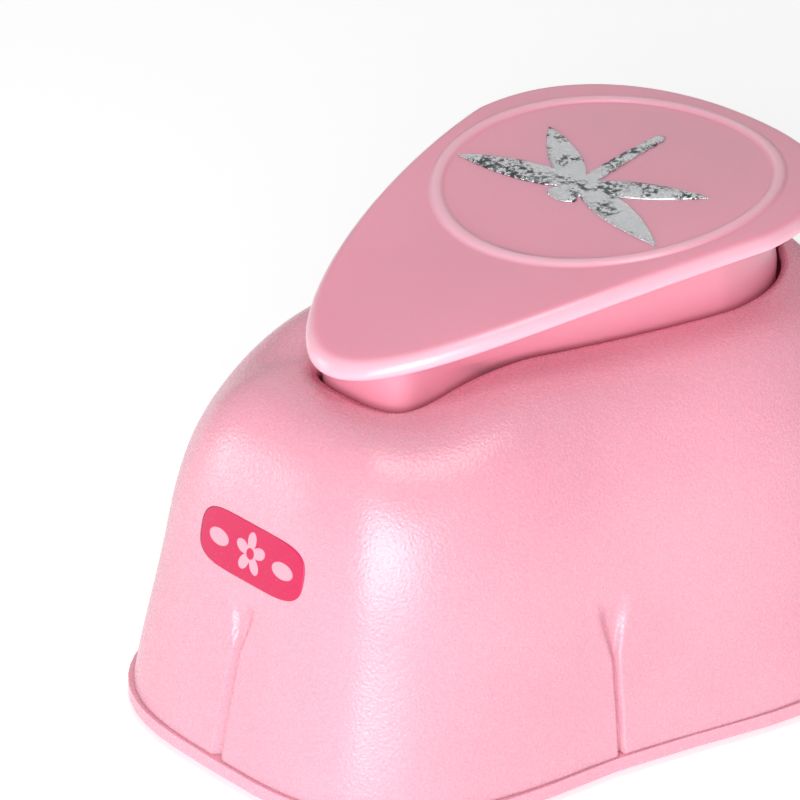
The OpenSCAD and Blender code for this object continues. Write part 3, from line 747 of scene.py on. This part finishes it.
class Finish:
    """A material around one Principled shader."""

    def __init__(self, name, **uniform):
        self.material = bpy.data.materials.new(name)
        self.material.use_nodes = True
        self.tree = self.material.node_tree
        self.shader = self.tree.nodes["Principled BSDF"]
        self.set(**uniform)
        self.place = self.add("ShaderNodeTexCoord", out="Object")

    def set(self, **values):
        """Plugs values or Wires into the shader; an underscore stands for the space in a socket's name."""
        for key, value in values.items():
            plug(self.tree, self.shader.inputs[key.replace("_", " ")], value)

    def add(self, kind, settings=None, out=0, **inputs):
        """Any other node from its type, its settings and its inputs, as a Wire from the output out."""
        node = self.tree.nodes.new(kind)
        for key, value in (settings or {}).items():
            setattr(node, key, value)
        for key, value in inputs.items():
            plug(self.tree, node.inputs[key.replace("_", " ")], value)
        return Wire(self.tree, node.outputs[out])

    def noise(self, size_mm, detail=2.0, roughness=0.5):
        """Clouds of about the given size."""
        return self.add("ShaderNodeTexNoise", Vector=self.place, Scale=1 / (size_mm * MM),
                        Detail=detail, Roughness=roughness)

    def cells(self, size_mm):
        """Distance to the nearest of a field of points about one size apart."""
        return self.add("ShaderNodeTexVoronoi", {"feature": "F1"}, out="Distance", Vector=self.place,
                        Scale=1 / (size_mm * MM))

    def blend(self, share, first, second):
        """A colour that goes from first to second as share goes from 0 to 1."""
        node = self.tree.nodes.new("ShaderNodeMix")
        node.data_type = "RGBA"
        plug(self.tree, node.inputs["Factor"], share)
        plug(self.tree, node.inputs[6], first)
        plug(self.tree, node.inputs[7], second)
        return Wire(self.tree, node.outputs[2])

    def bump(self, height, depth_mm):
        """A normal that tilts as if the surface rose by depth_mm where height is 1."""
        return self.add("ShaderNodeBump", out="Normal", Height=height, Distance=depth_mm * MM, Strength=1.0)

    def facing_up(self):
        """z of the surface's own normal: 1 on top, 0 on a side."""
        normal = self.add("ShaderNodeTexCoord", out="Normal")
        return self.add("ShaderNodeSeparateXYZ", out=2, Vector=normal)

    def split(self):
        """x, y and z of the object's own place, in millimetres."""
        node = self.tree.nodes.new("ShaderNodeSeparateXYZ")
        plug(self.tree, node.inputs[0], self.place)
        return [Wire(self.tree, node.outputs[k]) * (1 / MM) for k in range(3)]


def rgb(red, green, blue):
    """A colour as Blender's four numbers, in linear light."""
    return (red, green, blue, 1.0)


# %% [markdown]
# ## Grained and glossy pink
# The shell came out of a mould whose steel was spark-eroded, so it carries a fine grain of pits a quarter of a
# millimetre across. In a highlight each pit glints on its own, which is why the plastic sparkles there and looks
# smooth elsewhere. The lever came out of a polished mould in a deeper pink. Both let light in a little way, and that
# warms the shadows. The plate's thin edge and its raised ring get a painted highlight: a mask that is 1 near the
# ring's circle and where the surface turns away from upwards draws the colour towards a pale pink.

# %% Pink finishes
SHELL_PINK = rgb(0.83, 0.37, 0.465)
# Pale pink of the painted highlight on the plate's raised ring and rounded edge.
PAINTED_HIGHLIGHT_PINK = rgb(0.95, 0.60, 0.70)
LIGHT_INSIDE = {"Subsurface_Weight": 0.4, "Subsurface_Radius": (1.0, 0.25, 0.3), "Subsurface_Scale": 2 * MM}


def grained_pink():
    """The shell's pink, with a fine grain of pits in its bump and a slow drift of tone."""
    f = Finish("grained_pink", IOR=1.5, Specular_IOR_Level=0.75, **LIGHT_INSIDE)
    grain = f.noise(0.26, detail=2.5, roughness=0.6)
    pits = f.cells(0.34)
    drift = f.noise(14, detail=2.0)
    tone = f.blend(drift.step(0.3, 0.7), rgb(0.82, 0.36, 0.455), rgb(0.84, 0.38, 0.475))
    f.set(Base_Color=tone, Roughness=0.22 + 0.1 * grain,
          Normal=f.bump(grain * 0.7 + pits * 0.5, 0.045))
    return f.material


def satin_pink(name, painted_edge_highlight):
    """The lever's pink under a soft coat; the flag adds a painted highlight to the ring and the rounded edge."""
    f = Finish(name, IOR=1.5, Specular_IOR_Level=0.7, Coat_Weight=0.6, Coat_Roughness=0.38, **LIGHT_INSIDE)
    drift = f.noise(18, detail=1.5)
    micro = f.noise(0.5, detail=2.0)
    tone = f.blend(drift.step(0.3, 0.7), rgb(0.84, 0.31, 0.42), rgb(0.86, 0.33, 0.44))
    if painted_edge_highlight:
        # Painted highlight: near the ring's circle and where the surface turns away from upwards the colour goes
        # towards pale pink.
        x, y, _ = f.split()
        off = ((x ** 2.0 + (y - RING_Y) ** 2.0) ** 0.5 - RING_RADIUS).abs()
        ring = 1 - off.step(0.3, 0.9)
        rim = (1 - f.facing_up()).step(0.03, 0.35)
        tone = f.blend(0.55 * ring.most(rim), tone, PAINTED_HIGHLIGHT_PINK)
    f.set(Base_Color=tone, Roughness=0.27 + 0.05 * micro, Normal=f.bump(micro, 0.0012))
    return f.material


# %% [markdown]
# ## Foil, ink, metals and rubber
# The foil is a mirror with a crinkle. The same noise that bumps its folds also paints them dark where a broader noise
# is high, a painted reflection of dark surroundings, so the wings show patches of light and dark under soft light
# too.
# The ink is magenta with the grain of the wall showing through. Cast zinc is dull and slightly pitted, plated steel
# is brighter and smoother, the feet are black rubber, and the small pad under the lever is a milky plastic.

# %% Foil and ink finishes
PETAL_START, PETAL_LENGTH, EYE_RADIUS = 0.75, 1.35, 0.55
LEAF_PLACE, LEAF_SLENDER, LEAF_EDGE = 4.6, 0.55, (0.55, 0.68)
FEATHER = 0.05


def crinkled_foil():
    """Chrome with a painted reflection: its folds are painted dark where a fine and a broad noise are both high."""
    f = Finish("crinkled_foil", Metallic=1.0)
    broad = f.noise(2.6, detail=1.0)
    folds = f.noise(0.55, detail=4.0, roughness=0.7)
    fine = f.noise(0.35, detail=3.0, roughness=0.65)
    # Painted reflection: the dark base colour stands in for dark surroundings mirrored in the folds.
    dark = folds.step(0.46, 0.56) * broad.step(0.42, 0.56)
    f.set(Base_Color=f.blend(dark, rgb(0.93, 0.94, 0.96), rgb(0.10, 0.11, 0.115)),
          Roughness=0.10 + 0.15 * fine, Normal=f.bump(folds * 0.6 + fine * 0.4, 0.25))
    return f.material


def magenta_ink():
    """Magenta with a flower of five petals, r = start + length |sin(2.5 angle + 3.927)|, and two leaves unprinted."""
    f = Finish("magenta_ink", IOR=1.5)
    x, _, z = f.split()
    up = z - float(BADGE_Z)
    radius = (x ** 2.0 + up ** 2.0) ** 0.5
    angle = up.math("ARCTAN2", x)
    lobes = (angle * 2.5 + 3.927).math("SINE").abs()
    outline = PETAL_START + PETAL_LENGTH * lobes
    flower = 1 - (radius - outline).step(-FEATHER, FEATHER)
    eye = 1 - (radius - EYE_RADIUS).step(-FEATHER, FEATHER)
    leaf_distance = ((x.abs() - LEAF_PLACE) * LEAF_SLENDER) ** 2.0 + up ** 2.0
    leaves = 1 - leaf_distance.step(*LEAF_EDGE)
    bare = (flower - eye).most(leaves)
    speck = f.noise(0.22, detail=2.0).step(0.62, 0.72)
    ink = f.blend(speck * 0.35, rgb(0.60, 0.010, 0.085), rgb(0.75, 0.16, 0.26))
    grain = f.noise(0.26, detail=2.5, roughness=0.6)
    f.set(Base_Color=f.blend(bare, ink, SHELL_PINK), Roughness=0.36 + 0.1 * grain,
          Normal=f.bump(grain, 0.015))
    return f.material


# %% Metal, rubber and acetal finishes


def metal(name, colour, rough, cell_mm, depth_mm):
    """A metal with worn patches three millimetres across and a fine bump of cell_mm."""
    f = Finish(name, Metallic=1.0)
    wear = f.noise(3.0, detail=3.0)
    fine = f.noise(cell_mm, detail=3.0, roughness=0.6)
    dark = tuple(0.8 * c for c in colour[:3]) + (1.0,)
    f.set(Base_Color=f.blend(wear.step(0.3, 0.75), dark, colour), Roughness=rough + 0.15 * (fine + wear - 0.8),
          Normal=f.bump(fine, depth_mm))
    return f.material


def rubber():
    """Black and dull, with a faint bloom."""
    f = Finish("dull_rubber", IOR=1.45)
    fine = f.noise(0.2, detail=3.0)
    f.set(Base_Color=f.blend(fine, rgb(0.012, 0.012, 0.013), rgb(0.03, 0.03, 0.032)),
          Roughness=0.65 + 0.2 * fine, Normal=f.bump(fine, 0.02))
    return f.material


def acetal():
    """The milky white of an undyed moulding."""
    f = Finish("natural_acetal", IOR=1.48, Subsurface_Weight=0.3, Subsurface_Scale=1.0 * MM)
    drift = f.noise(2.0)
    f.set(Base_Color=f.blend(drift, rgb(0.78, 0.76, 0.70), rgb(0.86, 0.85, 0.80)),
          Roughness=0.3 + 0.1 * drift, Normal=f.bump(drift, 0.004))
    return f.material


shell_finish = grained_pink()
lever_finish = satin_pink("satin_pink", painted_edge_highlight=False)
plate_finish = satin_pink("satin_plate", painted_edge_highlight=True)
foil_finish = crinkled_foil()
ink_finish = magenta_ink()
zinc = metal("cast_zinc", rgb(0.50, 0.51, 0.53), 0.42, 0.3, 0.006)
steel = metal("plated_steel", rgb(0.66, 0.67, 0.69), 0.24, 0.15, 0.002)
wire = metal("spring_wire", rgb(0.52, 0.53, 0.56), 0.28, 0.2, 0.002)
tool = metal("ground_steel", rgb(0.42, 0.43, 0.45), 0.30, 0.12, 0.003)
rubber_finish, acetal_finish = rubber(), acetal()

# %% [markdown]
# ## Riding, replacing and dressing
# Each new piece rides on the body that carries it and stands for the node that it was drawn from. The remaining
# nodes stay as they are and only change their material.

# %% New pieces
DRESSED = [
    (body_shell, "housing", "body_shell", shell_finish, "shell_plastic"),
    (lever_cap, "lever", "lever_cap", plate_finish, "lever_plastic"),
    (lever_arm, "lever", "lever_arm", lever_finish, "lever_plastic"),
    (foil, "lever", "motif_emblem", foil_finish, "chrome_foil"),
    (badge, "housing", "maker_mark", ink_finish, "printed_ink"),
    (feet, "housing", "foot_pads", rubber_finish, "foot_rubber"),
    (springs["left"], "housing", "return_spring_left", wire, "spring_steel"),
    (springs["right"], "housing", "return_spring_right", wire, "spring_steel"),
]
for piece, body, node, finish, slot in DRESSED:
    piece.data.materials.append(finish)
    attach(piece, body)
    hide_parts(node)

SLOT_FINISH = {"shell_plastic": shell_finish, "lever_plastic": lever_finish, "cast_zinc": zinc,
               "bright_steel": steel, "tool_steel": tool, "pad_plastic": acetal_finish, "spring_steel": wire,
               "chrome_foil": foil_finish, "printed_ink": ink_finish, "foot_rubber": rubber_finish}
print("finishes by slot:", sorted({finish.name for finish in SLOT_FINISH.values()}))
slots = {part["node"]: part["material_slot"] for part in frame["record"]["subparts"]}
for name, node in frame["nodes"].items():
    node.data.materials.clear()
    node.data.materials.append(SLOT_FINISH[slots[name]])

# %% Springs with meshes of their own
for side, coil in springs.items():
    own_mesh(coil)

# %% [markdown]
# ## Floor, light and camera
# The punch stands on a plain white floor that gives off a little light of its own, as a lit table does, so that no
# shadow on the pink turns grey. Each light has one task: corner_box is low and upright and draws a bright band on a
# rear corner, left_box lights the shoulder beside it, front_fill is large and stands near the camera, overhead_box
# lifts the lever's top, and back_card is weak and keeps the far edges from going dark. The world is white at a third
# of its strength. The camera has a long lens and looks down on the hinge end from one side.

# %% Floor and light
FLOOR_HALF = 3.0
FLOOR_GLOW = 0.35
WORLD_STRENGTH = 0.35
LIGHT_DISTANCE = 0.6
LIGHT_AIM = Vector((0, 0, 0.03))


def direction(azimuth, elevation):
    """Unit vector (sin a cos e, -cos a cos e, sin e) towards an azimuth and an elevation in degrees."""
    a, e = np.radians(azimuth), np.radians(elevation)
    return Vector((np.sin(a) * np.cos(e), -np.cos(a) * np.cos(e), np.sin(e)))


def area_light(name, azimuth, elevation, size, power):
    """A rectangular soft box that faces the punch; size in metres, power in watts."""
    way = direction(azimuth, elevation)
    data = bpy.data.lights.new(name, "AREA")
    data.shape = "RECTANGLE"
    data.size, data.size_y = size
    data.energy = power
    lamp = bpy.data.objects.new(name, data)
    lamp.location = LIGHT_AIM + LIGHT_DISTANCE * way
    lamp.rotation_mode = "QUATERNION"
    lamp.rotation_quaternion = way.to_track_quat("Z", "Y")
    bpy.context.scene.collection.objects.link(lamp)


def white_floor():
    """A flat square under the punch, much larger than what the camera sees."""
    corners = [(x * FLOOR_HALF, y * FLOOR_HALF, 0) for x, y in ((-1, -1), (1, -1), (1, 1), (-1, 1))]
    mesh = bpy.data.meshes.new("floor")
    mesh.from_pydata(corners, [], [(0, 1, 2, 3)])
    floor = bpy.data.objects.new("floor", mesh)
    bpy.context.scene.collection.objects.link(floor)
    f = Finish("pale_floor", Roughness=0.9, Emission_Color=rgb(1, 1, 1), Emission_Strength=FLOOR_GLOW)
    f.set(Base_Color=rgb(0.97, 0.97, 0.97))
    mesh.materials.append(f.material)
    return floor


white_floor()
world = bpy.data.worlds.new("studio")
world.use_nodes = True
world.node_tree.nodes["Background"].inputs["Color"].default_value = (1, 1, 1, 1)
world.node_tree.nodes["Background"].inputs["Strength"].default_value = WORLD_STRENGTH
bpy.context.scene.world = world
bpy.context.scene.view_settings.view_transform = "Standard"
area_light("overhead_box", 234, 74, (0.2, 0.2), 0.7)
area_light("left_box", 130, 4, (0.1, 0.2), 0.5)
area_light("corner_box", 204, -2, (0.1, 0.24), 0.8)
area_light("front_fill", 219, 15, (0.32, 0.32), 2.4)
area_light("back_card", 48, 33, (0.5, 0.4), 0.25)

# %% Camera
VIEW_AZIMUTH, VIEW_ELEVATION = 228.5, 27.0
VIEW_DISTANCE = 0.5
LENS = 238.5
AIM = Vector((-3.76, 16.90, 35.16)) * MM

back = direction(VIEW_AZIMUTH, VIEW_ELEVATION)
camera_data = bpy.data.cameras.new("camera")
camera_data.lens, camera_data.sensor_width = LENS, 36.0
camera_data.clip_start, camera_data.clip_end = 0.01, 20.0
camera = bpy.data.objects.new("camera", camera_data)
stand = Matrix.Translation(AIM + VIEW_DISTANCE * back)
camera.matrix_world = stand @ back.to_track_quat("Z", "Y").to_matrix().to_4x4()
bpy.context.scene.collection.objects.link(camera)
bpy.context.scene.camera = camera
